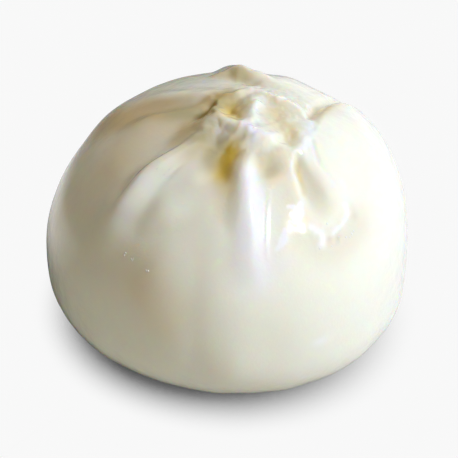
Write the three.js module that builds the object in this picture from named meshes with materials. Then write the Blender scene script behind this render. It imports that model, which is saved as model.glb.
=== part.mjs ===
// A burratina: a fist-sized pouch of stretched curd, full of cream and shreds, gathered and
// pinched shut at the top. It rests on its underside. Millimetres, +Z up. +X is the fuller
// side of the cheese, -Y the side that its boldest fold runs down. The origin is the middle
// of the foot.
//
// The pouch is a plump dome. Its folds and hollows are strokes laid on the skin: places on
// the skin are given on a map, where the pinch is at [0, 0], x runs to the right, y to the
// back, and the distance from [0, 0] is measured along the skin.
import * as THREE from 'three';

// The dome and the underside.
const GIRTH_RADIUS = 33.75;
const DOME_HEIGHT = 49.4;
const GIRTH_HEIGHT = 14.2;
const FOOT_SHARE = 0.53; // radius of the flat foot, as a share of the girth's
const DOME_FULLNESS = 2.1; // 2 is an ellipse, more is squarer
const UNDERSIDE_FULLNESS = 2.2;
const OVAL = { share: 0.038, bearing: 146 };
const THREE_SIDED = { share: 0.0155, bearing: 87 };
const SHOULDER = { swell: 1.8, bearing: 15, spread: 40, height: 32, reach: 12, lift: 0.5 };

// The pinch stands off the middle of the dome and pulls the skin around it up.
const PINCH_SHIFT = [6, -3];
const PINCH_SHIFT_POWER = 2.4;
const PINCH_RISE = 0.6;
const PINCH_REACH = 11;

// How strokes are drawn and joined.
const STROKE_STEPS = 8;
const STROKE_REACH = 2.4; // half widths from its line at which a stroke has died away
const CREASE_SOFTNESS = 0.25;
const JOIN_POWER = 3.5;
const FOOT_FADE = 6;

// Facets: small around the pinch, larger down the sides.
const PINCH_FACET = 0.85;
const SIDE_FACET = 2.3;
const FACET_GROWTH_FROM = 20;
const FACET_GROWTH_OVER = 11;

const MERIDIAN_STEPS = 400;
const TINY = 0.05;

// Each stroke has a path on the map, and its rise and half width along it, evenly spread.
// crest 2 is round-topped and 3 flat-topped; lean above 0 makes the left side the wide one.
const FOLDS = [
  { name: 'front ridge', crest: 2.2, lean: -0.2,
    path: [[-0.6, -9.4], [-1.2, -13.6], [0, -20.5], [2.4, -28.5], [4.2, -36], [5.6, -44]],
    rise: [0.2, 1.3, 1.25, 0.7, 0.35, 0], width: [1.5, 1.9, 3, 4, 5] },
  { name: 'front keel', crest: 2.2, lean: 0,
    path: [[-6, -22], [-4, -31], [-2, -41], [0, -52]],
    rise: [0, 0.35, 0.6, 0.5], width: [7, 9] },
  { name: 'left ridge', crest: 2, lean: 0.25,
    path: [[-8.2, -3.2], [-11.8, -7], [-17.2, -11], [-22.3, -15.6], [-27, -21]],
    rise: [0.3, 1, 1.7, 1.7, 0], width: [1.7, 1.9, 2.3, 2.8, 3.2] },
  { name: 'left cheek', crest: 2.2, lean: 0,
    path: [[-12.5, -15], [-16, -20.5], [-18, -27]],
    rise: [0, 0.75, 0], width: [5] },
  { name: 'low cheek', crest: 2.2, lean: 0,
    path: [[-14.5, -22], [-15.5, -32], [-13.5, -44]],
    rise: [0, 0.6, 0.4], width: [7, 9] },
  { name: 'left heel', crest: 2.2, lean: 0,
    path: [[-20, -10.5], [-25, -16.5], [-30, -26]],
    rise: [0, 1.1, 0], width: [3, 5] },
  { name: 'back left ridge', crest: 2, lean: 0,
    path: [[-7.3, 6.8], [-15, 10.5], [-27, 19]],
    rise: [1, 0.7, 0], width: [1.8, 4.6] },
  { name: 'back swell', crest: 2.2, lean: 0,
    path: [[-25, 19], [-17, 22.5], [-4, 24], [8, 23.5], [18, 24]],
    rise: [0.8, 0.6, 0.2, 0.6, 0], width: [8] },
  { name: 'back ridge', crest: 2, lean: 0,
    path: [[-1.6, 15.8], [-2, 25], [-4, 37]],
    rise: [1.7, 1.3, 0], width: [2.6, 3.2] },
  { name: 'back shoulder', crest: 2, lean: 0,
    path: [[-6.6, 14], [-5, 16.2], [-2, 17.2], [1, 16], [2.8, 13]],
    rise: [0.2, 1.1, 1.7, 1.2, 0.3], width: [2.2] },
  { name: 'back right ridge', crest: 2.2, lean: 0,
    path: [[11, 23], [15, 30], [19, 38]],
    rise: [0, 1, 0], width: [3, 4] },
  { name: 'right shoulder edge', crest: 2.3, lean: -0.62,
    path: [[10.6, -4.6], [13.4, 0.6], [18, 6], [24.6, 11.6], [31, 17.4]],
    rise: [0.6, 1.2, 1.3, 0.8, 0], width: [5, 6, 7] },
  { name: 'right ridge', crest: 2.2, lean: 0.2,
    path: [[7.2, -8.6], [9.9, -11.4], [13.8, -14.4], [19.2, -18.8]],
    rise: [0.5, 0.4, 0.5, 0.3], width: [1.4, 1.9, 2] },
  { name: 'middle sheet', crest: 2.8, lean: -0.35,
    path: [[4.9, -11], [6.6, -14.5], [9.6, -19.5]],
    rise: [0.3, 0.4, 0], width: [1.9, 2.4] },
  { name: 'left swell', crest: 2.2, lean: 0,
    path: [[-13, 2], [-26, 5]],
    rise: [0.3, 0.4, 0], width: [1.5, 3.2] },
  { name: 'pinch back rim', crest: 2, lean: 0,
    path: [[-6, 4.8], [-4, 5.9], [-0.4, 6], [4, 3.8], [7.4, 0.9], [9.8, -1.8]],
    rise: [0.4, 0.9, 1, 0.9, 0.4, 0.4], width: [1.1, 1, 1.4] },
  { name: 'pinch left lip', crest: 2, lean: 0,
    path: [[-5, 5.8], [-6.2, 3.2], [-6.6, 0.6]],
    rise: [0.3, 0.2, 0.7], width: [1.1] },
  { name: 'pinch divide', crest: 2, lean: -0.35,
    path: [[0.8, 4.4], [-0.5, 0.4], [-2, -4.4]],
    rise: [0.7, 0.8, 0.8], width: [1.7, 2] },
  { name: 'pinch front lip', crest: 2.2, lean: 0,
    path: [[-8.8, -3.6], [-6.6, -0.9], [-4.7, -3], [-2.8, -5.2]],
    rise: [0.7, 1, 1.1, 1.2], width: [1.9, 2, 2.6] },
  { name: 'lip skirt', crest: 2.2, lean: 0,
    path: [[-6.4, -4.6], [-4.7, -6], [-3.2, -7.4]],
    rise: [0.2, 1, 0.5], width: [2.2] },
  { name: 'pinch knob', crest: 2.2, lean: -0.2,
    path: [[-3, -5.2], [-1, -6.2], [1.6, -7.2], [3.8, -8.8], [6.6, -9.6]],
    rise: [1, 1.6, 1.7, 0.6, 0.6], width: [2.2, 2.6, 2, 1.6] },
  { name: 'pinch right rim', crest: 2.2, lean: 0,
    path: [[9.8, -1.5], [8.8, -4.8], [6.9, -9]],
    rise: [0.4, 0.5, 0.8], width: [1.8] },
];

const HOLLOWS = [
  { name: 'left pit', crest: 2, lean: 0,
    path: [[-4.4, 3.8], [-4.2, 1.4], [-3.8, -0.8]],
    rise: [1, 1.5, 1.1], width: [1.9] },
  { name: 'right pit', crest: 2, lean: 0,
    path: [[2.2, 2], [3.2, -1.2], [4.8, -6.6]],
    rise: [0.25, 0.8, 0.5], width: [2.2, 2.4, 1.9] },
  { name: 'front hollow', crest: 2, lean: -0.3,
    path: [[-6.3, -7.8], [-6.4, -10.5], [-5.9, -14.5], [-4.4, -18.8]],
    rise: [0.4, 0.8, 0.8, 0], width: [3, 3, 2.5, 2] },
  { name: 'dimple', crest: 1.9, lean: 0,
    path: [[1.6, -11.4], [2.2, -13], [3.2, -16.4]],
    rise: [0.6, 0.9, 0], width: [2.4, 2.8] },
  { name: 'right valley', crest: 2.2, lean: 0.3,
    path: [[6.9, -10.4], [8.2, -13.6], [11.4, -17], [15.2, -20.4]],
    rise: [0.5, 0.9, 0.8, 0], width: [0.8, 1.5, 2.2, 2.6] },
  { name: 'left valley', crest: 2.2, lean: 0,
    path: [[-7.8, 4.4], [-10.4, 2.6], [-15.2, -0.6], [-25, -8.6]],
    rise: [1.6, 1.9, 1.3, 0], width: [1.5, 2.4, 3.6, 5] },
  { name: 'upper left valley', crest: 2.2, lean: 0,
    path: [[-7.4, 6.4], [-12, 6.8], [-26, 11]],
    rise: [1, 0.9, 0], width: [1.6, 3, 4.4] },
  { name: 'right crease', crest: 2.2, lean: 0,
    path: [[9.4, -0.6], [12, 4.4], [17, 10.4], [23, 16.4]],
    rise: [0.7, 1, 0.8, 0], width: [0.9, 1.5, 2.2] },
  { name: 'back pocket', crest: 2.2, lean: 0,
    path: [[-3, 12.4], [-0.8, 12.2], [2.8, 8.6]],
    rise: [0.4, 0.9, 0.2], width: [1.7] },
  { name: 'back valley', crest: 2.2, lean: 0,
    path: [[5, 16], [5, 22], [5, 31]],
    rise: [0, 0.3, 0], width: [2.2, 3.6] },
];

const curd = new THREE.MeshStandardMaterial({ color: 0xf2ecd9, roughness: 0.3, metalness: 0 });

const radians = THREE.MathUtils.degToRad;
const mix = THREE.MathUtils.lerp;

function curveAt(values, share) {
  // A smooth run through evenly spread values: the one at `share` of the way along.
  if (values.length === 1) return values[0];
  const place = share * (values.length - 1);
  const i = Math.min(Math.floor(place), values.length - 2);
  const eased = THREE.MathUtils.smoothstep(place - i, 0, 1);
  return mix(values[i], values[i + 1], eased);
}

function drawStroke({ path, rise, width, crest, lean }) {
  // The stroke as short straight spans, each with its rise and half width at both ends.
  const curve = new THREE.CatmullRomCurve3(path.map(([x, y]) => new THREE.Vector3(x, y, 0)));
  const count = STROKE_STEPS * (path.length - 1);
  const stations = [];
  for (let i = 0; i <= count; i += 1) {
    const share = i / count;
    const { x, y } = curve.getPoint(share);
    stations.push({ x, y, rise: curveAt(rise, share), width: curveAt(width, share) });
  }
  const reach = STROKE_REACH * (1 + Math.abs(lean)) * Math.max(...width);
  return { stations, crest, lean, reach };
}

function strokeHeight({ stations, crest, lean, reach }, x, y) {
  let nearest = reach * reach;
  let height = 0;
  for (let i = 1; i < stations.length; i += 1) {
    const from = stations[i - 1];
    const to = stations[i];
    const alongX = to.x - from.x;
    const alongY = to.y - from.y;
    const length = Math.hypot(alongX, alongY);
    const dot = (x - from.x) * alongX + (y - from.y) * alongY;
    const share = THREE.MathUtils.clamp(dot / (length * length), 0, 1);
    const offX = x - from.x - share * alongX;
    const offY = y - from.y - share * alongY;
    const square = offX * offX + offY * offY;
    if (square < nearest) {
      nearest = square;
      const off = Math.hypot(offX, offY, CREASE_SOFTNESS);
      const side = (alongX * offY - alongY * offX) / (length * off);
      const halfWidth = mix(from.width, to.width, share) * (1 + lean * side);
      height = mix(from.rise, to.rise, share) * Math.exp(-((off / halfWidth) ** crest));
    }
  }
  return height;
}

function joinStrokes(strokes, x, y) {
  // Strokes that cross run into each other, the higher one leading.
  let sum = 0;
  for (const stroke of strokes) sum += strokeHeight(stroke, x, y) ** JOIN_POWER;
  return sum ** (1 / JOIN_POWER);
}

function traceMeridian() {
  // From the top of the dome, over the girth to the edge of the foot: share of the girth's
  // radius, height, and the distance along the skin.
  const stations = [];
  let distance = 0;
  for (let i = 0; i <= 2 * MERIDIAN_STEPS; i += 1) {
    const angle = (Math.PI * i) / (2 * MERIDIAN_STEPS);
    const out = Math.abs(Math.sin(angle));
    const up = Math.abs(Math.cos(angle));
    const above = i <= MERIDIAN_STEPS;
    const fullness = above ? DOME_FULLNESS : UNDERSIDE_FULLNESS;
    const wide = out ** (2 / fullness);
    const high = up ** (2 / fullness);
    const share = above ? wide : mix(FOOT_SHARE, 1, wide);
    const z = above ? mix(GIRTH_HEIGHT, DOME_HEIGHT, high) : GIRTH_HEIGHT * (1 - high);
    if (i > 0) {
      const last = stations[i - 1];
      distance += Math.hypot((share - last.share) * GIRTH_RADIUS, z - last.z);
    }
    stations.push({ share, z, distance });
  }
  return stations;
}

const meridian = traceMeridian();
const SKIN_LENGTH = meridian[meridian.length - 1].distance;

function meridianAt(distance) {
  const i = Math.max(1, meridian.findIndex((station) => station.distance >= distance));
  const from = meridian[i - 1];
  const to = meridian[i];
  const part = (distance - from.distance) / (to.distance - from.distance);
  const share = THREE.MathUtils.clamp(part, 0, 1);
  return { share: mix(from.share, to.share, share), z: mix(from.z, to.z, share) };
}

function girthRadius(bearing) {
  const oval = OVAL.share * Math.cos(2 * (bearing - radians(OVAL.bearing)));
  const sides = THREE_SIDED.share * Math.cos(3 * (bearing - radians(THREE_SIDED.bearing)));
  return GIRTH_RADIUS * (1 + oval + sides);
}

function shoulderSwell(bearing, z) {
  const turn = bearing - radians(SHOULDER.bearing);
  const round = Math.atan2(Math.sin(turn), Math.cos(turn)) / radians(SHOULDER.spread);
  const away = (z - SHOULDER.height) / SHOULDER.reach;
  return SHOULDER.swell * Math.exp(-round * round - away * away);
}

function bodyPoint(bearing, distance) {
  const { share, z } = meridianAt(distance);
  const swell = shoulderSwell(bearing, z);
  const radius = girthRadius(bearing) * share + swell;
  const high = THREE.MathUtils.clamp((z - GIRTH_HEIGHT) / (DOME_HEIGHT - GIRTH_HEIGHT), 0, 1);
  const pull = high ** PINCH_SHIFT_POWER;
  return new THREE.Vector3(
    radius * Math.cos(bearing) + PINCH_SHIFT[0] * pull,
    radius * Math.sin(bearing) + PINCH_SHIFT[1] * pull,
    z + SHOULDER.lift * swell,
  );
}

function outward(bearing, distance) {
  const near = Math.max(distance, 4 * TINY);
  const turn = TINY / near;
  const down = bodyPoint(bearing, near + TINY).sub(bodyPoint(bearing, near - TINY));
  const around = bodyPoint(bearing + turn, near).sub(bodyPoint(bearing - turn, near));
  return down.cross(around).normalize();
}

const folds = FOLDS.map(drawStroke);
const hollows = HOLLOWS.map(drawStroke);

function skinPoint(bearing, distance) {
  const x = distance * Math.cos(bearing);
  const y = distance * Math.sin(bearing);
  const relief = joinStrokes(folds, x, y) - joinStrokes(hollows, x, y);
  const pinch = PINCH_RISE * Math.exp(-((distance / PINCH_REACH) ** 2));
  const fade = THREE.MathUtils.clamp((SKIN_LENGTH - distance) / FOOT_FADE, 0, 1);
  const lift = (relief + pinch) * fade;
  return bodyPoint(bearing, distance).addScaledVector(outward(bearing, distance), lift);
}

function facetAt(distance) {
  const grown = (distance - FACET_GROWTH_FROM) / FACET_GROWTH_OVER;
  return mix(PINCH_FACET, SIDE_FACET, THREE.MathUtils.clamp(grown, 0, 1));
}

function layRings() {
  // Rings of points around the pinch, down to the edge of the foot.
  const distances = [];
  for (let distance = PINCH_FACET; distance < SKIN_LENGTH; distance += facetAt(distance)) {
    distances.push(distance);
  }
  const fit = SKIN_LENGTH / distances[distances.length - 1];
  return distances.map((distance, i) => {
    const around = 2 * Math.PI * GIRTH_RADIUS * meridianAt(distance * fit).share;
    const count = Math.max(6, Math.round(around / facetAt(distance * fit)));
    return { distance: distance * fit, count, offset: i % 2 === 0 ? 0 : 0.5 };
  });
}

function stitch(faces, inner, outer) {
  // Triangles between two rings with different numbers of points.
  let i = 0;
  let j = 0;
  while (i < inner.count || j < outer.count) {
    const innerNext = (i + 1 + inner.offset) / inner.count;
    const outerNext = (j + 1 + outer.offset) / outer.count;
    const a = inner.first + (i % inner.count);
    const b = outer.first + (j % outer.count);
    if (j < outer.count && (i >= inner.count || outerNext <= innerNext)) {
      j += 1;
      faces.push(a, b, outer.first + (j % outer.count));
    } else {
      i += 1;
      faces.push(a, b, inner.first + (i % inner.count));
    }
  }
}

function closeRing(faces, ring, centre, facesUp) {
  for (let i = 0; i < ring.count; i += 1) {
    const a = ring.first + i;
    const b = ring.first + ((i + 1) % ring.count);
    if (facesUp) faces.push(centre, a, b);
    else faces.push(centre, b, a);
  }
}

function buildPouch() {
  const points = [skinPoint(0, 0)];
  const faces = [];
  const rings = layRings();
  for (const ring of rings) {
    ring.first = points.length;
    for (let i = 0; i < ring.count; i += 1) {
      const bearing = (2 * Math.PI * (i + ring.offset)) / ring.count;
      points.push(skinPoint(bearing, ring.distance));
    }
  }
  closeRing(faces, rings[0], 0, true);
  for (let i = 1; i < rings.length; i += 1) stitch(faces, rings[i - 1], rings[i]);
  closeRing(faces, rings[rings.length - 1], points.length, false);
  points.push(new THREE.Vector3(0, 0, 0));
  const geometry = new THREE.BufferGeometry().setFromPoints(points);
  geometry.setIndex(faces);
  return geometry;
}

function standOnFoot(geometry) {
  geometry.computeBoundingBox();
  const middle = geometry.boundingBox.getCenter(new THREE.Vector3());
  geometry.translate(-middle.x, -middle.y, -geometry.boundingBox.min.z);
  geometry.computeVertexNormals();
  return geometry;
}

const burratina = new THREE.Group();
const pouch = new THREE.Mesh(standOnFoot(buildPouch()), curd);
pouch.name = 'burratina';
burratina.add(pouch);

export default burratina;
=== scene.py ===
"""The burratina's looks: its finely sculpted skin, wet curd, a pale floor and soft light.

The skin is the solid's own form, made from the same named sizes and finer facets. Its sizes are
in millimetres on the skin's own map, and MM turns them into Blender's metres. On the map the
pinch is at (0, 0), x runs to the right, y to the back, and the distance from (0, 0) is measured
along the skin.
"""
import math

import bmesh
import bpy
import numpy as np
from mathutils import Matrix, Vector


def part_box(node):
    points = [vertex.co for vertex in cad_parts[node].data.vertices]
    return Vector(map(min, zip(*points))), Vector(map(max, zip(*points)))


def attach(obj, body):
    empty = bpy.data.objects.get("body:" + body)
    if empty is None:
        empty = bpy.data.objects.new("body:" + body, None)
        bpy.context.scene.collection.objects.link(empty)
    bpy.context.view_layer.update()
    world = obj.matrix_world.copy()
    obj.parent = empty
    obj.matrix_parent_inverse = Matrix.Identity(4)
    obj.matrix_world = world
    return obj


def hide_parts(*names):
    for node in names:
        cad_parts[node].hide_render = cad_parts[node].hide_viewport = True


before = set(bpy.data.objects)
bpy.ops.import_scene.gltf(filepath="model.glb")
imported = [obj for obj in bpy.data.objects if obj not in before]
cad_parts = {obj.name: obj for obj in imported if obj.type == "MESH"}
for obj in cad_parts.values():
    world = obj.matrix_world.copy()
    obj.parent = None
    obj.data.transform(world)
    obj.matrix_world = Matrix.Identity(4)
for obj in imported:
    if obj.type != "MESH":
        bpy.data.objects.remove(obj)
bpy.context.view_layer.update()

MM = 0.001

# --- The dome, as in the solid ---------------------------------------------------------------
GIRTH_RADIUS = 33.75
DOME_HEIGHT = 49.4
GIRTH_HEIGHT = 14.2
FOOT_SHARE = 0.53
DOME_FULLNESS = 2.1
UNDERSIDE_FULLNESS = 2.2
OVAL_SHARE, OVAL_BEARING = 0.038, 146.0
THREE_SIDED_SHARE, THREE_SIDED_BEARING = 0.0155, 87.0
SHOULDER_SWELL, SHOULDER_BEARING, SHOULDER_SPREAD = 1.8, 15.0, 40.0
SHOULDER_HEIGHT, SHOULDER_REACH, SHOULDER_LIFT = 32.0, 12.0, 0.5
PINCH_SHIFT = (6.0, -3.0)
PINCH_SHIFT_POWER = 2.4
PINCH_RISE, PINCH_REACH = 0.6, 11.0
MERIDIAN_STEPS = 400

# --- How strokes are drawn and joined, a little finer than in the solid ----------------------
STROKE_STEPS = 10
STROKE_REACH = 2.4
CREASE_SOFTNESS = 0.2
JOIN_POWER = 3.5
FOOT_FADE = 6.0

# --- Facets ----------------------------------------------------------------------------------
PINCH_FACET = 0.26
SIDE_FACET = 0.65
FACET_GROWTH_FROM = 27.0
FACET_GROWTH_OVER = 16.0
LEAST_ROUND_A_RING = 6

# --- Unevenness too fine for the solid -------------------------------------------------------
# How far from the pinch the curd is torn, and how sharply that ends.
TORN_REACH, TORN_EDGE = 11.5, 4
# Waves: height in mm, length in mm and seed. A shift moves folds and stains sideways, and the
# torn folds' height is a share of their own.
TORN_SHIFTS = (0.5, 1.9, 1), (0.5, 1.9, 3)
BROAD_SHIFTS = (0.6, 6.0, 2), (0.6, 6.0, 4)
TORN_FOLDS = (0.3, 1.6, 5)
TORN_LUMPS = (0.13, 1.1, 6), (0.07, 0.6, 7)
LOW_WAVES = (0.16, 9.0, 8), (0.03, 3.5, 9)
FROTH_WAVES = (0.12, 1.5, 12), (0.08, 0.8, 13)
# Pleats drawn out down the skin: height in mm, count round it, length in mm and seed.
SKIN_PLEATS = (0.03, 90, 9.0, 10)
FOLD_PLEATS = (0.03, 210, 6.0, 11)
PLEATS_DISTANCE, PLEATS_SPREAD = 16.0, 16.0
# The rise from which a fold has all its own pleats.
FULL_FOLD_RISE = 1.2


def stroke(path, rise, width, crest=2.2, lean=0.0):
    """A fold or hollow: its line on the map, and its rise and half width along it, in mm.

    A higher crest makes it flatter on top and steeper at its sides. A lean above 0 spreads it
    further to the left of its line, and one below 0 to the right.
    """
    return {"path": path, "rise": rise, "width": width, "crest": crest, "lean": lean}


FOLDS = {
    "front ridge": stroke([(-0.6, -9.4), (-1.2, -13.6), (0, -20.5), (2.4, -28.5), (4.2, -36),
                           (5.6, -44)],
                          [0.2, 1.3, 1.25, 0.7, 0.35, 0], [1.5, 1.9, 3, 4, 5], lean=-0.2),
    "front keel": stroke([(-6, -22), (-4, -31), (-2, -41), (0, -52)], [0, 0.35, 0.6, 0.5], [7, 9]),
    "left ridge": stroke([(-8.2, -3.2), (-11.8, -7), (-17.2, -11), (-22.3, -15.6), (-27, -21)],
                         [0.3, 1, 1.7, 1.7, 0], [1.7, 1.9, 2.3, 2.8, 3.2], crest=2, lean=0.25),
    "left cheek": stroke([(-12.5, -15), (-16, -20.5), (-18, -27)], [0, 0.75, 0], [5]),
    "low cheek": stroke([(-14.5, -22), (-15.5, -32), (-13.5, -44)], [0, 0.6, 0.4], [7, 9]),
    "left heel": stroke([(-20, -10.5), (-25, -16.5), (-30, -26)], [0, 1.1, 0], [3, 5]),
    "back left ridge": stroke([(-7.3, 6.8), (-15, 10.5), (-27, 19)], [1, 0.7, 0], [1.8, 4.6],
                              crest=2),
    "back swell": stroke([(-25, 19), (-17, 22.5), (-4, 24), (8, 23.5), (18, 24)],
                         [0.8, 0.6, 0.2, 0.6, 0], [8]),
    "back ridge": stroke([(-1.6, 15.8), (-2, 25), (-4, 37)], [1.7, 1.3, 0], [2.6, 3.2], crest=2),
    "back shoulder": stroke([(-6.6, 14), (-5, 16.2), (-2, 17.2), (1, 16), (2.8, 13)],
                            [0.2, 1.1, 1.7, 1.2, 0.3], [2.2], crest=2),
    "back right ridge": stroke([(11, 23), (15, 30), (19, 38)], [0, 1, 0], [3, 4]),
    "right shoulder edge": stroke([(10.6, -4.6), (13.4, 0.6), (18, 6), (24.6, 11.6), (31, 17.4)],
                                  [0.6, 1.2, 1.3, 0.8, 0], [5, 6, 7], crest=2.3, lean=-0.62),
    "right ridge": stroke([(7.2, -8.6), (9.9, -11.4), (13.8, -14.4), (19.2, -18.8)],
                          [0.5, 0.4, 0.5, 0.3], [1.4, 1.9, 2], lean=0.2),
    "middle sheet": stroke([(4.9, -11), (6.6, -14.5), (9.6, -19.5)], [0.3, 0.4, 0], [1.9, 2.4],
                           crest=2.8, lean=-0.35),
    "left swell": stroke([(-13, 2), (-26, 5)], [0.3, 0.4, 0], [1.5, 3.2]),
    "pinch back rim": stroke([(-6, 4.8), (-4, 5.9), (-0.4, 6), (4, 3.8), (7.4, 0.9), (9.8, -1.8)],
                             [0.4, 0.9, 1, 0.9, 0.4, 0.4], [1.1, 1, 1.4], crest=2),
    "pinch left lip": stroke([(-5, 5.8), (-6.2, 3.2), (-6.6, 0.6)], [0.3, 0.2, 0.7], [1.1],
                             crest=2),
    "pinch divide": stroke([(0.8, 4.4), (-0.5, 0.4), (-2, -4.4)], [0.7, 0.8, 0.8], [1.7, 2],
                           crest=2, lean=-0.35),
    "pinch front lip": stroke([(-8.8, -3.6), (-6.6, -0.9), (-4.7, -3), (-2.8, -5.2)],
                              [0.7, 1, 1.1, 1.2], [1.9, 2, 2.6]),
    "lip skirt": stroke([(-6.4, -4.6), (-4.7, -6), (-3.2, -7.4)], [0.2, 1, 0.5], [2.2]),
    "pinch knob": stroke([(-3, -5.2), (-1, -6.2), (1.6, -7.2), (3.8, -8.8), (6.6, -9.6)],
                         [1, 1.6, 1.7, 0.6, 0.6], [2.2, 2.6, 2, 1.6], lean=-0.2),
    "pinch right rim": stroke([(9.8, -1.5), (8.8, -4.8), (6.9, -9)], [0.4, 0.5, 0.8], [1.8]),
}
HOLLOWS = {
    "left pit": stroke([(-4.4, 3.8), (-4.2, 1.4), (-3.8, -0.8)], [1, 1.5, 1.1], [1.9], crest=2),
    "right pit": stroke([(2.2, 2), (3.2, -1.2), (4.8, -6.6)], [0.25, 0.8, 0.5], [2.2, 2.4, 1.9],
                        crest=2),
    "front hollow": stroke([(-6.3, -7.8), (-6.4, -10.5), (-5.9, -14.5), (-4.4, -18.8)],
                           [0.4, 0.8, 0.8, 0], [3, 3, 2.5, 2], crest=2, lean=-0.3),
    "dimple": stroke([(1.6, -11.4), (2.2, -13), (3.2, -16.4)], [0.6, 0.9, 0], [2.4, 2.8],
                     crest=1.9),
    "right valley": stroke([(6.9, -10.4), (8.2, -13.6), (11.4, -17), (15.2, -20.4)],
                           [0.5, 0.9, 0.8, 0], [0.8, 1.5, 2.2, 2.6], lean=0.3),
    "left valley": stroke([(-7.8, 4.4), (-10.4, 2.6), (-15.2, -0.6), (-25, -8.6)],
                          [1.6, 1.9, 1.3, 0], [1.5, 2.4, 3.6, 5]),
    "upper left valley": stroke([(-7.4, 6.4), (-12, 6.8), (-26, 11)], [1, 0.9, 0], [1.6, 3, 4.4]),
    "right crease": stroke([(9.4, -0.6), (12, 4.4), (17, 10.4), (23, 16.4)], [0.7, 1, 0.8, 0],
                           [0.9, 1.5, 2.2]),
    "back pocket": stroke([(-3, 12.4), (-0.8, 12.2), (2.8, 8.6)], [0.4, 0.9, 0.2], [1.7]),
    "back valley": stroke([(5, 16), (5, 22), (5, 31)], [0, 0.3, 0], [2.2, 3.6]),
}
# Creases, lips and pits too fine for the solid.
FINE_FOLDS = {
    "froth lip": stroke([(19.4, -17.6), (20.2, -19.2), (19.8, -20.6), (18.2, -22.6)],
                        [0.2, 0.4, 0.4, 0.3], [0.5]),
    "froth edge": stroke([(14, -23.2), (16, -24), (16.6, -25.4)], [0.2, 0.35, 0.1], [0.7]),
    "wet edge": stroke([(3.4, -18.6), (4.7, -24), (6.6, -29.6), (8.2, -34)],
                       [0.1, 0.2, 0.2, 0], [0.5]),
}
FINE_HOLLOWS = {
    "left crease": stroke([(-9.8, -9.4), (-13.5, -12.7), (-18.6, -17.4)], [0.1, 0.15, 0], [0.5]),
    "shoulder crease": stroke([(9.6, -6.3), (12.4, -11.4), (18.6, -15.6)], [0.2, 0.3, 0], [0.5]),
    "froth pit a": stroke([(21, -17.4), (22.2, -18.8), (21.4, -20.6)], [0.25, 0.35, 0.2], [1.1]),
    "froth pit b": stroke([(17.8, -24.4), (19.6, -24)], [0.3], [0.8]),
}
# How much the skin is roughened by froth, from 0 to 1.
FROTH = {"patch": stroke([(15, -24), (19.4, -23), (22.4, -20)], [0.8, 1, 0.7], [2.2], crest=2.4)}
# Tints laid over the curd's colour; their rises are shares of the tint. The yellow one is cream
# showing through the wet skin in the hollows, and is painted shade there as well.
CREAM_AND_PAINTED_SHADE = {
    "front hollow": stroke([(-4.4, -6.4), (-4.6, -10.4), (-5.2, -14.5), (-4, -18.4)],
                           [0.5, 1.15, 1, 0.35], [2.2, 2.7, 2.6, 2.2]),
    "left pit": stroke([(-5.2, 4.6), (-4.6, 2), (-3.8, -0.2)], [0.6, 0.9, 0.6], [2.4]),
    "right pit": stroke([(1.8, 3), (3.4, 0.4), (3.6, -2.4), (5.4, -5.2), (6, -7.4)],
                        [0.1, 0.36, 0.3, 0.4, 0.3], [2.4, 2.4, 1.6]),
    "dimple": stroke([(1.6, -11.2), (2.6, -14.4)], [0.25], [2.4]),
    "right valley": stroke([(7.2, -10.4), (8.2, -13.4), (10.6, -16.8)], [0.2, 0.5, 0.3], [0.8]),
}
# Painted shade in warm brown, on valleys, creases, the back bump's front and the left side, where
# the skin is turned from the light.
PAINTED_SHADE_BROWN = {
    "back bump": stroke([(-4.6, 15.4), (-1.8, 14.4), (0.4, 12)], [0.9, 1.3, 0.3], [2]),
    "left valley": stroke([(-5.4, 7), (-8.4, 4.6), (-11.4, 0.2), (-13.8, -4.4), (-16.6, -7)],
                          [0.9, 1.4, 1.4, 0.9, 0], [1.8, 3, 2.8, 2]),
    "lower left": stroke([(-25, -27), (-20, -35), (-16, -43)], [0.15, 0.4, 0.25], [4.4, 5.5]),
    "upper edge": stroke([(-12, 7.6), (-17, 9), (-25, 12), (-34, 16)],
                         [0.6, 1.1, 0.7, 0], [2, 3, 5]),
    "left side": stroke([(-13, 4), (-19, 1.6), (-24, -5), (-27, -14)], [0.4, 0.55, 0.5, 0], [5]),
    "upper left": stroke([(-9, 4.4), (-12.6, 4.4), (-17, 5), (-23, 8.4), (-28, 11), (-38, 15)],
                         [1, 1.2, 1.2, 1.1, 0.7, 0], [1.8, 3, 4, 4.6, 6]),
    "right crease": stroke([(10.6, 1.4), (12.8, 3.6), (18.6, 10.6), (27, 18)],
                           [0.6, 0.8, 0.3, 0], [1.9, 2.2, 2.6]),
    "below the hollow": stroke([(-5, -18.4), (-4, -21.4), (-3, -26)], [0.25, 0.2, 0], [2.6]),
    "under the left ridge": stroke([(-9.8, -11.6), (-9.4, -18), (-8, -26)], [0.15, 0.15, 0], [3.2]),
    "right pit": stroke([(2.8, -0.4), (3.6, -2)], [0.15], [1.6]),
}
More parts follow.
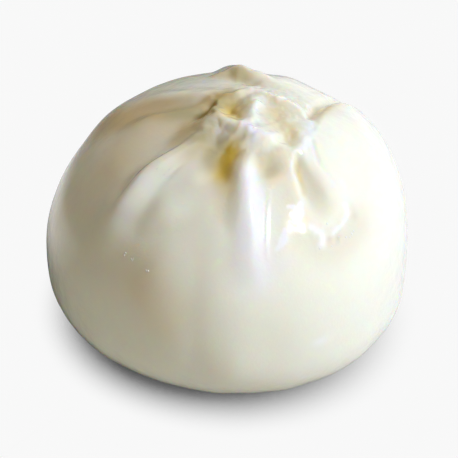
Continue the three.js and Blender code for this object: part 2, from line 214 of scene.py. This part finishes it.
# Painted shade in dark green-grey, over hollows, under the lips, on the front ridge's top and on
# brightly lit skin at the right front.
PAINTED_SHADE_OLIVE = {
    "under the lip": stroke([(-4.4, -7.4), (-6.6, -7.4), (-7.9, -9.6), (-7.6, -12.4),
                             (-6.6, -15.5)],
                            [0.4, 0.8, 0.95, 0.7, 0.1], [1.9, 2.3, 1.9]),
    "lip corner": stroke([(-8.2, -3.4), (-9.8, -6.4), (-11, -9)], [0.7, 1, 0.6], [2.6]),
    "ridge top": stroke([(-2.6, -8.6), (-1.8, -10.8), (-1.6, -13)], [0.5, 0.6, 0.3], [1.6]),
    "sheet": stroke([(4.6, -12), (6.2, -15), (7.6, -18)], [0.12], [2.4]),
    "left lip": stroke([(-5, 6.4), (-6.6, 3.4), (-7.2, 1.2), (-6, 0.2)],
                       [0.6, 1.1, 1.1, 0.5], [1.8]),
    "lip side": stroke([(-7, 4), (-8.4, 1), (-10.2, -1.6), (-12.4, -4)],
                       [0.2, 0.3, 0.4, 0.2], [1.5]),
    "left valley": stroke([(-9, 4), (-11.5, 3.6), (-14, 4), (-18, 5)], [0.3, 1, 0.9, 0.2], [2.7]),
    "back bump": stroke([(-3.4, 15.4), (-1, 13.6), (0, 12.4)], [0.5, 0.9, 0.3], [1.9]),
    "back slope": stroke([(5, 8.4), (10, 9.4), (17, 14.6)], [0.06, 0.1, 0.08], [3.4]),
    # Painted shade that dims the brightly lit wet skin at the right front.
    "film": stroke([(6, -15), (8.6, -20), (13, -25), (20, -25.5), (24, -20)],
                   [0.15, 0.22, 0.22, 0.25, 0.25], [2, 4.5]),
    "dimple": stroke([(1.3, -11), (2.4, -14.4)], [0.35, 0.3], [2.6]),
    "valley": stroke([(8.4, -13.4), (12, -16), (15.4, -19)], [0.2, 0.35, 0.3], [2.2]),
    "froth pit a": stroke([(21, -17.4), (22.2, -18.8), (21.4, -20.6)], [0.2, 0.35, 0.2], [1.3]),
    "froth pit b": stroke([(17.8, -24.4), (19.6, -24)], [0.25], [1.1]),
}
# Painted highlights and painted light in near white: on the lit ridges, knob and rims, glints at
# beads and froth, reflections of the window in the wet skin and soft streaks low at the right.
PAINTED_HIGHLIGHTS = {
    "front ridge": stroke([(-1.4, -10.6), (-0.5, -16), (1, -22), (3.3, -30), (5.2, -36), (6, -41)],
                          [0.1, 1, 1, 0.9, 0.7, 0], [1.7, 2.2, 3, 4.6, 5.4]),
    "left ridge": stroke([(-15, -10.4), (-19, -13.6), (-23.6, -18)], [0, 0.4, 0.4], [2.6, 3.4]),
    "left cheek": stroke([(-12.4, -15.4), (-10.4, -19)], [0.25], [3.6]),
    "back left": stroke([(-15, 12.4), (-9.6, 14), (-6.8, 14.2)], [0.4, 0.5, 0.2], [2.4, 1.8]),
    # Painted glints among the beads at the lower left.
    "bead row": stroke([(-25, -26), (-23.9, -27.1), (-22.6, -28.2)], [0.7], [0.16], crest=6),
    "lone bead": stroke([(-19.5, -31.5), (-19, -31.9)], [0.9], [0.2], crest=6),
    # Painted reflections of the window in the wet skin.
    "film a": stroke([(8, -20.8), (9.2, -20.4)], [1], [0.5], crest=6),
    "film b": stroke([(10.4, -19.6), (10.6, -21), (10.4, -22.8)], [1], [0.8, 1.4, 0.9], crest=6),
    "film c": stroke([(8.8, -25), (9.2, -27), (8.6, -29)], [1], [0.5, 1.1, 0.5], crest=6),
    "knob": stroke([(-2.4, -5.2), (0.2, -6.8), (2.6, -8.4)], [0.6, 0.9, 0.3], [1.7]),
    "divide": stroke([(0.8, 4), (-0.5, 0.4), (-2, -3.6)], [0.1, 0.4, 0.6], [1.4]),
    "knob front": stroke([(-1.7, -5.2), (-1, -8), (1.4, -9.2)], [0.9, 0.8, 0.4], [1.6]),
    "lip skirt": stroke([(-7.6, -2.4), (-5, -5), (-4, -6.4)], [0.1, 0.7, 0.4], [1.6]),
    "right rim": stroke([(9.4, -3), (8, -7), (8.2, -9)], [0.6, 0.6, 0.2], [1.6]),
    "froth lip": stroke([(19.4, -17.6), (20.2, -19.2), (19.8, -20.6), (18.2, -22.6)], [0.9], [0.6]),
    "froth edge": stroke([(14, -23.2), (16, -24), (16.6, -25.4)], [0.9], [0.9]),
    # Painted highlights low on the right front.
    "low streak": stroke([(22, -45.6), (25.4, -43.9), (28.2, -42.2)], [0.1, 0.8, 0.2], [0.9]),
    "low arc": stroke([(19, -55), (27.3, -53), (33, -48.6)], [0, 0.5, 0], [0.6]),
}
# Each tint's colour and strokes, in the order in which they are laid over each other: painted shade
# in brown, cream with painted shade, painted shade in green-grey, and painted highlights.
TINTS_AND_PAINTED_LIGHT = {
    "painted_shade_brown": ((0.74, 0.605, 0.365), PAINTED_SHADE_BROWN),
    "cream_and_shade": ((0.80, 0.58, 0.09), CREAM_AND_PAINTED_SHADE),
    "painted_shade_olive": ((0.54, 0.48, 0.28), PAINTED_SHADE_OLIVE),
    "white": ((0.98, 0.985, 0.92), PAINTED_HIGHLIGHTS),
}


# --- Objects ---------------------------------------------------------------------------------
def add_object(name, data):
    """An object in the scene, with this mesh, light or camera."""
    made = bpy.data.objects.new(name, data)
    bpy.context.scene.collection.objects.link(made)
    return made


def smooth(mesh):
    """Shades the mesh so that its facets don't show."""
    mesh.polygons.foreach_set("use_smooth", np.ones(len(mesh.polygons), bool))


# --- The skin --------------------------------------------------------------------------------
def trace_meridian():
    """From the top of the dome to the foot's edge: share of the girth, height, distance."""
    angle = np.linspace(0, math.pi, 2 * MERIDIAN_STEPS + 1)
    out, up = np.abs(np.sin(angle)), np.abs(np.cos(angle))
    above = angle <= math.pi / 2
    dome_z = GIRTH_HEIGHT + (DOME_HEIGHT - GIRTH_HEIGHT) * up ** (2 / DOME_FULLNESS)
    under = FOOT_SHARE + (1 - FOOT_SHARE) * out ** (2 / UNDERSIDE_FULLNESS)
    under_z = GIRTH_HEIGHT * (1 - up ** (2 / UNDERSIDE_FULLNESS))
    share = np.where(above, out ** (2 / DOME_FULLNESS), under)
    z = np.where(above, dome_z, under_z)
    steps = np.hypot(np.diff(share) * GIRTH_RADIUS, np.diff(z))
    return share, z, np.concatenate([[0], np.cumsum(steps)])


SHARES, HEIGHTS, DISTANCES = trace_meridian()
SKIN_LENGTH = DISTANCES[-1]


def body_points(bearing, distance):
    """The dome without its folds. Bearings in radians."""
    share = np.interp(distance, DISTANCES, SHARES)
    z = np.interp(distance, DISTANCES, HEIGHTS)
    oval = OVAL_SHARE * np.cos(2 * (bearing - math.radians(OVAL_BEARING)))
    sides = THREE_SIDED_SHARE * np.cos(3 * (bearing - math.radians(THREE_SIDED_BEARING)))
    turn = bearing - math.radians(SHOULDER_BEARING)
    turn = np.arctan2(np.sin(turn), np.cos(turn)) / math.radians(SHOULDER_SPREAD)
    away = (z - SHOULDER_HEIGHT) / SHOULDER_REACH
    swell = SHOULDER_SWELL * np.exp(-turn ** 2 - away ** 2)
    radius = GIRTH_RADIUS * (1 + oval + sides) * share + swell
    high = np.clip((z - GIRTH_HEIGHT) / (DOME_HEIGHT - GIRTH_HEIGHT), 0, 1)
    pull = high ** PINCH_SHIFT_POWER
    x = radius * np.cos(bearing) + PINCH_SHIFT[0] * pull
    y = radius * np.sin(bearing) + PINCH_SHIFT[1] * pull
    return np.stack([x, y, z + SHOULDER_LIFT * swell], axis=-1)


def outward(bearing, distance):
    """The way out of the dome, square to its surface."""
    tiny = 0.05
    near = np.maximum(distance, 4 * tiny)
    turn = tiny / near
    down = body_points(bearing, near + tiny) - body_points(bearing, near - tiny)
    around = body_points(bearing + turn, near) - body_points(bearing - turn, near)
    normal = np.cross(down, around)
    return normal / np.linalg.norm(normal, axis=-1, keepdims=True)


def ease(t):
    """A smooth run from 0 to 1."""
    return t * t * (3 - 2 * t)


def values_at(values, share):
    """A smooth run through evenly spread values."""
    values = np.array(values, float)
    if len(values) == 1:
        return np.full_like(share, values[0])
    place = share * (len(values) - 1)
    i = np.minimum(place.astype(int), len(values) - 2)
    return values[i] + (values[i + 1] - values[i]) * ease(place - i)


def smooth_path(points):
    """A centripetal Catmull-Rom curve through the points, as in the solid."""
    p = [np.array(q, float) for q in points]
    p = [2 * p[0] - p[1]] + p + [2 * p[-1] - p[-2]]
    spots = []
    for i in range(1, len(p) - 2):
        four = p[i - 1:i + 3]
        knots = [0.0]
        for a, b in zip(four[:-1], four[1:]):
            knots.append(knots[-1] + max(np.linalg.norm(b - a), 1e-6) ** 0.5)
        k0, k1, k2, k3 = knots
        for step in range(STROKE_STEPS):
            t = k1 + (k2 - k1) * step / STROKE_STEPS
            a1 = (k1 - t) / (k1 - k0) * four[0] + (t - k0) / (k1 - k0) * four[1]
            a2 = (k2 - t) / (k2 - k1) * four[1] + (t - k1) / (k2 - k1) * four[2]
            a3 = (k3 - t) / (k3 - k2) * four[2] + (t - k2) / (k3 - k2) * four[3]
            b1 = (k2 - t) / (k2 - k0) * a1 + (t - k0) / (k2 - k0) * a2
            b2 = (k3 - t) / (k3 - k1) * a2 + (t - k1) / (k3 - k1) * a3
            spots.append((k2 - t) / (k2 - k1) * b1 + (t - k1) / (k2 - k1) * b2)
    return np.array(spots + [p[-2]])


def stroke_height(line, x, y):
    """The stroke's height at each map point: its nearest span's, dying away to the sides."""
    path = smooth_path(line["path"])
    share = np.linspace(0, 1, len(path))
    rise, width = values_at(line["rise"], share), values_at(line["width"], share)
    reach = STROKE_REACH * (1 + abs(line["lean"])) * width.max()
    low, high = path.min(0) - reach, path.max(0) + reach
    inside = (x > low[0]) & (x < high[0]) & (y > low[1]) & (y < high[1])
    px, py = x[inside], y[inside]
    nearest = np.full(px.shape, reach ** 2)
    best = np.zeros(px.shape)
    for i in range(len(path) - 1):
        along = path[i + 1] - path[i]
        length = np.hypot(*along)
        t = ((px - path[i, 0]) * along[0] + (py - path[i, 1]) * along[1]) / length ** 2
        t = np.clip(t, 0, 1)
        off_x = px - path[i, 0] - t * along[0]
        off_y = py - path[i, 1] - t * along[1]
        square = off_x ** 2 + off_y ** 2
        off = np.sqrt(square + CREASE_SOFTNESS ** 2)
        side = (along[0] * off_y - along[1] * off_x) / (length * off)
        half = (width[i] + (width[i + 1] - width[i]) * t) * (1 + line["lean"] * side)
        value = (rise[i] + (rise[i + 1] - rise[i]) * t) * np.exp(-(off / half) ** line["crest"])
        closer = square < nearest
        nearest = np.where(closer, square, nearest)
        best = np.where(closer, value, best)
    height = np.zeros(x.shape)
    height[inside] = best
    return height


def join_strokes(strokes, x, y):
    """Strokes that cross run into each other, the higher one leading."""
    total = sum(stroke_height(line, x, y) ** JOIN_POWER for line in strokes.values())
    return total ** (1 / JOIN_POWER)


def between(grid, i, after, j, s, t):
    """Grid values between i and after, and between j and the next, at the shares s and t."""
    near = grid[i, j] + (grid[after, j] - grid[i, j]) * ease(s)
    far = grid[i, j + 1] + (grid[after, j + 1] - grid[i, j + 1]) * ease(s)
    return near + (far - near) * ease(t)


def ripple(x, y, wave):
    """Smooth uneven waves of this height, length and seed."""
    height, length, seed = wave
    cells = int(2 * SKIN_LENGTH / length) + 4
    grid = np.random.default_rng(seed).uniform(-1, 1, (cells + 1, cells + 1))
    u, v = x / length + cells / 2, y / length + cells / 2
    i, j = u.astype(int), v.astype(int)
    return height * between(grid, i, i + 1, j, u - i, v - j)


def streaks(bearing, distance, pleats):
    """Waves drawn out down the skin, of this height, count round it, length and seed."""
    height, count, length, seed = pleats
    grid = np.random.default_rng(seed).uniform(-1, 1, (count, int(SKIN_LENGTH / length) + 3))
    u, v = (bearing / (2 * math.pi) % 1) * count, distance / length
    i, j = u.astype(int) % count, v.astype(int)
    return height * between(grid, i, (i + 1) % count, j, u % 1, v - j)


def facet_at(distance):
    """The length of a facet's side, which grows away from the pinch."""
    grown = np.clip((distance - FACET_GROWTH_FROM) / FACET_GROWTH_OVER, 0, 1)
    return PINCH_FACET + (SIDE_FACET - PINCH_FACET) * grown


def lay_rings():
    """Rings of points around the pinch: distance, count and half-step offset of each."""
    distances = [PINCH_FACET]
    while distances[-1] < SKIN_LENGTH:
        distances.append(distances[-1] + facet_at(distances[-1]))
    fit = SKIN_LENGTH / distances[-1]
    rings = []
    for i, distance in enumerate(distances):
        around = 2 * math.pi * GIRTH_RADIUS * np.interp(distance * fit, DISTANCES, SHARES)
        count = max(LEAST_ROUND_A_RING, round(around / facet_at(distance * fit)))
        rings.append((distance * fit, count, 0.5 * (i % 2)))
    return rings


def stitch(faces, inner, outer):
    """Triangles between two rings, each given as its first index, count and offset."""
    (first_in, count_in, shift_in), (first_out, count_out, shift_out) = inner, outer
    i = j = 0
    while i < count_in or j < count_out:
        next_in = (i + 1 + shift_in) / count_in
        next_out = (j + 1 + shift_out) / count_out
        a, b = first_in + i % count_in, first_out + j % count_out
        if j < count_out and (i >= count_in or next_out <= next_in):
            j += 1
            faces.append((a, b, first_out + j % count_out))
        else:
            i += 1
            faces.append((a, b, first_in + i % count_in))


def lay_skin():
    """Bearing and distance of every point, and the faces between them."""
    bearings, distances, faces, spans = [np.zeros(1)], [np.zeros(1)], [], []
    first = 1
    for distance, count, offset in lay_rings():
        bearings.append((np.arange(count) + offset) * 2 * math.pi / count)
        distances.append(np.full(count, distance))
        spans.append((first, count, offset))
        first += count
    count = spans[0][1]
    faces.extend((0, 1 + k, 1 + (k + 1) % count) for k in range(count))
    for inner, outer in zip(spans[:-1], spans[1:]):
        stitch(faces, inner, outer)
    edge, count, _ = spans[-1]
    faces.extend((first, edge + (k + 1) % count, edge + k) for k in range(count))
    bearings.append(np.zeros(1))
    distances.append(np.full(1, SKIN_LENGTH))
    return np.concatenate(bearings), np.concatenate(distances), faces


def sculpt(bearing, distance):
    """Points of the sculpted skin in mm, not yet stood on the floor, and the shares there of cream,
    painted shade and painted highlights.
    """
    x, y = distance * np.cos(bearing), distance * np.sin(bearing)
    torn = np.exp(-(distance / TORN_REACH) ** TORN_EDGE)
    u, v = (at + (torn * ripple(x, y, fine) + ripple(x, y, broad))
            for at, fine, broad in zip((x, y), TORN_SHIFTS, BROAD_SHIFTS))
    rise = join_strokes({**FOLDS, **FINE_FOLDS}, u, v)
    sink = join_strokes({**HOLLOWS, **FINE_HOLLOWS}, u, v)
    folded = np.clip(rise / FULL_FOLD_RISE, 0, 1)
    folds = rise * (1 + torn * ripple(x, y, TORN_FOLDS))
    pinch = PINCH_RISE * np.exp(-(distance / PINCH_REACH) ** 2)
    lumps = torn * sum(ripple(x, y, wave) for wave in TORN_LUMPS)
    waves = sum(ripple(x, y, wave) for wave in LOW_WAVES)
    pleated = np.exp(-((distance - PLEATS_DISTANCE) / PLEATS_SPREAD) ** 2)
    pleats = pleated * (streaks(bearing, distance, SKIN_PLEATS)
                        + folded * streaks(bearing, distance, FOLD_PLEATS))
    froth = join_strokes(FROTH, u, v) * sum(ripple(x, y, wave) for wave in FROTH_WAVES)
    fade = np.clip((SKIN_LENGTH - distance) / FOOT_FADE, 0, 1)
    lift = (folds - sink + pinch + lumps + waves + pleats + froth) * fade
    points = body_points(bearing, distance) + outward(bearing, distance) * lift[:, None]
    return points, {name: join_strokes(strokes, u, v) for name, (_, strokes) in TINTS_AND_PAINTED_LIGHT.items()}


def sculpt_skin():
    """The skin, and the shift that stands it where the solid is."""
    bearing, distance, faces = lay_skin()
    points, tints_and_light = sculpt(bearing, distance)
    # The last point is the middle of the underside.
    points[-1] = (0, 0, 0)
    low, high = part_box("burratina")
    middle = (points.min(0) + points.max(0)) / 2
    shift = np.array([(low.x + high.x) / 2 / MM, (low.y + high.y) / 2 / MM, 0]) - middle
    shift[2] = -points[:, 2].min()
    points = points + shift
    points[-1, :2] = 0
    mesh = bpy.data.meshes.new("burratina_skin")
    mesh.from_pydata((points * MM).tolist(), [], faces)
    smooth(mesh)
    # The shares of cream, painted shade and painted highlights go on the mesh, for the curd's
    # colour.
    for name, shares in tints_and_light.items():
        mesh.attributes.new(name, "FLOAT", "POINT").data.foreach_set("value", shares)
    mesh.update()
    return add_object("burratina_skin", mesh), shift


# --- Beads of whey ---------------------------------------------------------------------------
# Where they gather on the map, how far they scatter in mm, how many, and their radii in mm.
BEADS = (
    ((19.4, -24.4), 3, 10, (0.1, 0.24)),
    ((22.4, -21), 2.6, 5, (0.1, 0.2)),
    ((-0.6, -6.2), 2, 5, (0.08, 0.16)),
    ((-24, -26.9), 0.5, 3, (0.12, 0.2)),
    ((-22.2, -28.6), 0.7, 4, (0.12, 0.2)),
    ((-18.9, -32.1), 0.5, 3, (0.12, 0.24)),
    ((-15.5, -12.4), 1.4, 3, (0.1, 0.18)),
)
BEAD_FLATNESS = 0.45
BEAD_SUBDIVISIONS = 3
BEAD_SEED = 21


def scatter_beads(shift):
    """Small beads of whey that cling to the skin, as one joined mesh."""
    draw = np.random.default_rng(BEAD_SEED)
    spots, radii = [], []
    for centre, spread, count, (least, most) in BEADS:
        spots.append(np.array(centre) + draw.normal(0, spread / 2, (count, 2)))
        radii.append(draw.uniform(least, most, count))
    spots, radii = np.concatenate(spots), np.concatenate(radii)
    bearing, distance = np.arctan2(spots[:, 1], spots[:, 0]), np.hypot(spots[:, 0], spots[:, 1])
    points = sculpt(bearing, distance)[0] + shift
    ways = outward(bearing, distance)
    joined = bmesh.new()
    for point, way, radius in zip(points, ways, radii):
        turn = Vector(way).to_track_quat("Z", "Y").to_matrix().to_4x4()
        size = Matrix.Diagonal((radius * MM, radius * MM, radius * BEAD_FLATNESS * MM, 1))
        place = Matrix.Translation(Vector(point) * MM) @ turn @ size
        bmesh.ops.create_icosphere(joined, subdivisions=BEAD_SUBDIVISIONS, radius=1, matrix=place)
    mesh = bpy.data.meshes.new("burratina_beads")
    joined.to_mesh(mesh)
    joined.free()
    smooth(mesh)
    return add_object("burratina_beads", mesh)


# --- Curd and whey ---------------------------------------------------------------------------
CURD = (0.93, 0.91, 0.775)
CURD_SHADER = {
    "Subsurface Weight": 1.0,
    "Subsurface Radius": (1.0, 0.62, 0.32),
    "Subsurface Scale": 1.3 * MM,
    "Specular IOR Level": 0.25,
    "Coat Weight": 1.0,
    "Coat Roughness": 0.012,
    "Coat IOR": 1.36,
}
CURD_ROUGHNESS = (0.26, 0.42)
ROUGHNESS_LENGTH = 2.5
# Unevenness finer than the facets, in the curd and in the wet coat over it: length and depth in mm.
GRAIN_LENGTH, GRAIN_DEPTH = 0.5, 0.03
COAT_LENGTH, COAT_DEPTH = 2.6, 0.16
WHEY_SHADER = {
    "Base Color": (0.96, 0.95, 0.89, 1),
    "Roughness": 0.2,
    "Coat Weight": 1.0,
    "Coat Roughness": 0.02,
}
# The sockets of a Mix node that mixes colours.
MIX_SHARE, MIX_FIRST, MIX_SECOND, MIX_RESULT = 0, 6, 7, 2


def node(tree, kind, **sockets):
    """A node with these values on its sockets."""
    made = tree.nodes.new(kind)
    for name, value in sockets.items():
        made.inputs[name.replace("_", " ")].default_value = value
    return made


def math_node(tree, operation, first, second):
    """A Math node's result. Each value is a number or another node's output."""
    made = tree.nodes.new("ShaderNodeMath")
    made.operation = operation
    for socket, value in zip(made.inputs, (first, second)):
        if isinstance(value, bpy.types.NodeSocket):
            tree.links.new(value, socket)
        else:
            socket.default_value = value
    return made.outputs[0]


def noise(tree, length, detail=3.0):
    """Uneven waves about as long as the length, in mm, from 0 to 1."""
    waves = node(tree, "ShaderNodeTexNoise", Scale=1 / (length * MM), Detail=detail)
    place = tree.nodes.new("ShaderNodeTexCoord").outputs["Object"]
    tree.links.new(place, waves.inputs["Vector"])
    return waves.outputs["Fac"]


def bump(tree, length, depth):
    """A normal turned by waves of this length and depth in mm."""
    dent = node(tree, "ShaderNodeBump", Distance=depth * MM)
    tree.links.new(noise(tree, length), dent.inputs["Height"])
    return dent.outputs["Normal"]


def start_material(name, sockets):
    """A material, its node tree, and its shader with these values on its sockets."""
    material = bpy.data.materials.new(name)
    material.use_nodes = True
    shader = material.node_tree.nodes["Principled BSDF"]
    for socket, value in sockets.items():
        shader.inputs[socket].default_value = value
    return material, material.node_tree, shader


def paint_over(tree, colour, name, tint):
    """The colour with one tint laid over it, by the share of it at each point; the tints are cream,
    painted shade and painted highlights.
    """
    share = tree.nodes.new("ShaderNodeAttribute")
    share.attribute_name = name
    mix = tree.nodes.new("ShaderNodeMix")
    mix.data_type = "RGBA"
    mix.inputs[MIX_SECOND].default_value = (*tint, 1)
    if isinstance(colour, bpy.types.NodeSocket):
        tree.links.new(colour, mix.inputs[MIX_FIRST])
    else:
        mix.inputs[MIX_FIRST].default_value = (*colour, 1)
    tree.links.new(share.outputs["Fac"], mix.inputs[MIX_SHARE])
    return mix.outputs[MIX_RESULT]


def make_curd():
    """Curd that lets light in, under a thin coat of whey, tinted with cream, painted shade and
    painted highlights.
    """
    material, tree, shader = start_material("curd", CURD_SHADER)
    colour = CURD
    # Cream, painted shade and painted highlights laid over the curd's colour, one after another.
    for name, (tint, _) in TINTS_AND_PAINTED_LIGHT.items():
        colour = paint_over(tree, colour, name, tint)
    tree.links.new(colour, shader.inputs["Base Color"])
    least, most = CURD_ROUGHNESS
    rough = node(tree, "ShaderNodeMapRange", To_Min=least, To_Max=most)
    tree.links.new(noise(tree, ROUGHNESS_LENGTH, detail=2.0), rough.inputs["Value"])
    tree.links.new(rough.outputs["Result"], shader.inputs["Roughness"])
    tree.links.new(bump(tree, GRAIN_LENGTH, GRAIN_DEPTH), shader.inputs["Normal"])
    tree.links.new(bump(tree, COAT_LENGTH, COAT_DEPTH), shader.inputs["Coat Normal"])
    return material


def make_whey():
    """Milky drops with a wet shine."""
    return start_material("whey", WHEY_SHADER)[0]


# --- Floor -----------------------------------------------------------------------------------
# The floor gives off its own light: how strong and white it looks, and how strong and of which
# colour it is where it lights the cheese.
FLOOR_HALF = 3.0
FLOOR_WHITE, WHITE_LIGHT = 0.94, (1, 1, 1, 1)
FLOOR_BOUNCE, BOUNCE_LIGHT = 0.64, (1, 0.98, 0.88, 1)
# The shade close round the foot: its reach in mm, its steepness and the least light in it.
SHADE_REACH = 8.5
SHADE_POWER = 2.3
SHADE_LEAST = 0.1
SHADE_SAMPLES = 16
# Each pair below is two places in mm and the value at each, which is held beyond them: how
# strong the shade is, from left to right, and how bright the wet coat mirrors the floor, by the
# distance from the cheese's middle, from front to back and from left to right.
SHADE_ACROSS = (-35, 2.1), (35, 0.6)
MIRROR_NEAR = (44, 0.1), (62, 1.0)
MIRROR_FAR = (215, 1.0), (219, 0.1)
MIRROR_FRONT = (0, 0.15), (22, 0.8)
MIRROR_BEHIND = (50, 1.0), (75, 0.3)
MIRROR_RIGHT = (-12, 0.0), (40, 0.92)
# The far edge of the bright part runs in and out by waves of this length and depth in mm.
FAR_EDGE_LENGTH, FAR_EDGE_DEPTH = 18.0, 160.0


def ramp(tree, place, start, end):
    """A value that runs from one (place in mm, value) to the other, and is held beyond them."""
    made = node(tree, "ShaderNodeMapRange", From_Min=start[0] * MM, From_Max=end[0] * MM,
                To_Min=start[1], To_Max=end[1])
    tree.links.new(place, made.inputs["Value"])
    return made.outputs["Result"]


def shade_floor(tree, across):
    """How light the floor is, from the shade's least close round the foot to 1 away from it."""
    shade = node(tree, "ShaderNodeAmbientOcclusion", Distance=SHADE_REACH * MM)
    shade.samples = SHADE_SAMPLES
    shut = math_node(tree, "SUBTRACT", 1.0, shade.outputs["AO"])
    steep = math_node(tree, "POWER", shut, SHADE_POWER)
    dark = math_node(tree, "MULTIPLY", steep, ramp(tree, across, *SHADE_ACROSS))
    return math_node(tree, "MAXIMUM", math_node(tree, "SUBTRACT", 1.0, dark), SHADE_LEAST)


def mirror_floor(tree, place, across, back):
    """How bright the wet coat mirrors each place of the floor."""
    length = tree.nodes.new("ShaderNodeVectorMath")
    length.operation = "LENGTH"
    tree.links.new(place, length.inputs[0])
    away = length.outputs["Value"]
    uneven = math_node(tree, "MULTIPLY", noise(tree, FAR_EDGE_LENGTH), FAR_EDGE_DEPTH * MM)
    bright = ramp(tree, math_node(tree, "ADD", away, uneven), *MIRROR_FAR)
    for run, ends in ((away, MIRROR_NEAR), (back, MIRROR_FRONT), (back, MIRROR_BEHIND)):
        bright = math_node(tree, "MULTIPLY", bright, ramp(tree, run, *ends))
    bright = math_node(tree, "MAXIMUM", bright, ramp(tree, across, *MIRROR_RIGHT))
    return math_node(tree, "MULTIPLY", bright, FLOOR_WHITE)


def glow(tree, light, bright, colour):
    """Light given off, as strong as its two factors together."""
    made = node(tree, "ShaderNodeEmission", Color=colour)
    tree.links.new(math_node(tree, "MULTIPLY", light, bright), made.inputs["Strength"])
    return made.outputs["Emission"]


def make_floor_finish():
    """Plain white to look at, dark only where the cheese stands close over it."""
    material = bpy.data.materials.new("floor_white")
    material.use_nodes = True
    tree = material.node_tree
    tree.nodes.clear()
    place = tree.nodes.new("ShaderNodeTexCoord").outputs["Object"]
    split = tree.nodes.new("ShaderNodeSeparateXYZ")
    tree.links.new(place, split.inputs["Vector"])
    across, back = split.outputs["X"], split.outputs["Y"]
    light = shade_floor(tree, across)
    mirrored = mirror_floor(tree, place, across, back)
    finish = glow(tree, light, FLOOR_BOUNCE, BOUNCE_LIGHT)
    path = tree.nodes.new("ShaderNodeLightPath")
    for ray, bright in (("Is Glossy Ray", mirrored), ("Is Camera Ray", FLOOR_WHITE)):
        which = tree.nodes.new("ShaderNodeMixShader")
        tree.links.new(path.outputs[ray], which.inputs["Fac"])
        tree.links.new(finish, which.inputs[1])
        tree.links.new(glow(tree, light, bright, WHITE_LIGHT), which.inputs[2])
        finish = which.outputs["Shader"]
    out = tree.nodes.new("ShaderNodeOutputMaterial")
    tree.links.new(finish, out.inputs["Surface"])
    return material


def add_floor():
    half = FLOOR_HALF
    mesh = bpy.data.meshes.new("floor")
    corners = [(-half, -half, 0), (half, -half, 0), (half, half, 0), (-half, half, 0)]
    mesh.from_pydata(corners, [], [(0, 1, 2, 3)])
    mesh.materials.append(make_floor_finish())
    floor = add_object("floor", mesh)


# --- Light and camera ------------------------------------------------------------------------
# Each lamp's bearing and height in degrees, its distance and size in metres, its watts and
# colour, and whether it lights the curd, is mirrored in its gloss, or both.
LAMPS = {
    "key": (-20, 45, 0.9, (0.2, 0.28), 8.3, (0.74, 0.825, 1.0), "curd"),
    "window": (-52, 39, 0.6, (0.06, 0.12), 1.0, (1.0, 1.0, 1.0), "gloss"),
    "front": (-50, 12, 0.6, (0.6, 0.5), 0.95, (1.0, 0.94, 0.96), "both"),
    "right back": (70, 12, 0.6, (0.4, 0.3), 1.25, (0.97, 0.98, 0.9), "curd"),
    "back": (112, 14, 0.6, (0.4, 0.3), 1.3, (1.0, 0.97, 0.88), "curd"),
    "left back": (-150, 45, 0.6, (0.4, 0.4), 0.2, (1.0, 0.82, 0.5), "both"),
    "above": (-90, 80, 0.6, (0.3, 0.3), 0.45, (1.0, 0.68, 0.3), "both"),
}
ROOM_COLOUR, ROOM_STRENGTH = (1.0, 0.82, 0.5, 1), 0.02
# What the camera looks at and from how far, in metres, its tilt in degrees, and its lens and
# sensor in mm.
CAMERA_AIM = (0.0006, -0.0003, 0.0197)
CAMERA_TILT, CAMERA_DISTANCE = 40, 0.42
CAMERA_LENS, SENSOR_WIDTH = 172.8, 36


def aim_from(thing, aim, bearing, height, away):
    """Sets a thing off from its aim, by a bearing and height in degrees, and points it there."""
    b, h = math.radians(bearing), math.radians(height)
    way = Vector((math.cos(b) * math.cos(h), math.sin(b) * math.cos(h), math.sin(h)))
    thing.location = aim + away * way
    thing.rotation_euler = (aim - thing.location).to_track_quat("-Z", "Y").to_euler()


def add_lamp(name, bearing, height, away, size, power, colour, lights):
    light = bpy.data.lights.new(name, "AREA")
    light.shape = "RECTANGLE"
    light.size, light.size_y = size
    light.energy = power
    light.color = colour
    lamp = add_object(name, light)
    aim_from(lamp, Vector((0, 0, DOME_HEIGHT * MM / 2)), bearing, height, away)
    lamp.visible_glossy = lights != "curd"
    lamp.visible_diffuse = lights != "gloss"


def add_lights():
    for name, lamp in LAMPS.items():
        add_lamp(name, *lamp)
    world = bpy.data.worlds.new("room")
    world.use_nodes = True
    room = world.node_tree.nodes["Background"]
    room.inputs["Color"].default_value = ROOM_COLOUR
    room.inputs["Strength"].default_value = ROOM_STRENGTH
    bpy.context.scene.world = world


def add_camera():
    camera = bpy.data.cameras.new("camera")
    camera.sensor_width = SENSOR_WIDTH
    camera.lens = CAMERA_LENS
    eye = add_object("camera", camera)
    aim_from(eye, Vector(CAMERA_AIM), -90, CAMERA_TILT, CAMERA_DISTANCE)
    bpy.context.scene.camera = eye


def main():
    add_camera()
    skin, shift = sculpt_skin()
    beads = scatter_beads(shift)
    for piece, finish in ((skin, make_curd()), (beads, make_whey())):
        piece.data.materials.append(finish)
        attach(piece, "root")
    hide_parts("burratina")
    add_floor()
    add_lights()
    bpy.context.scene.view_settings.view_transform = "Standard"


main()
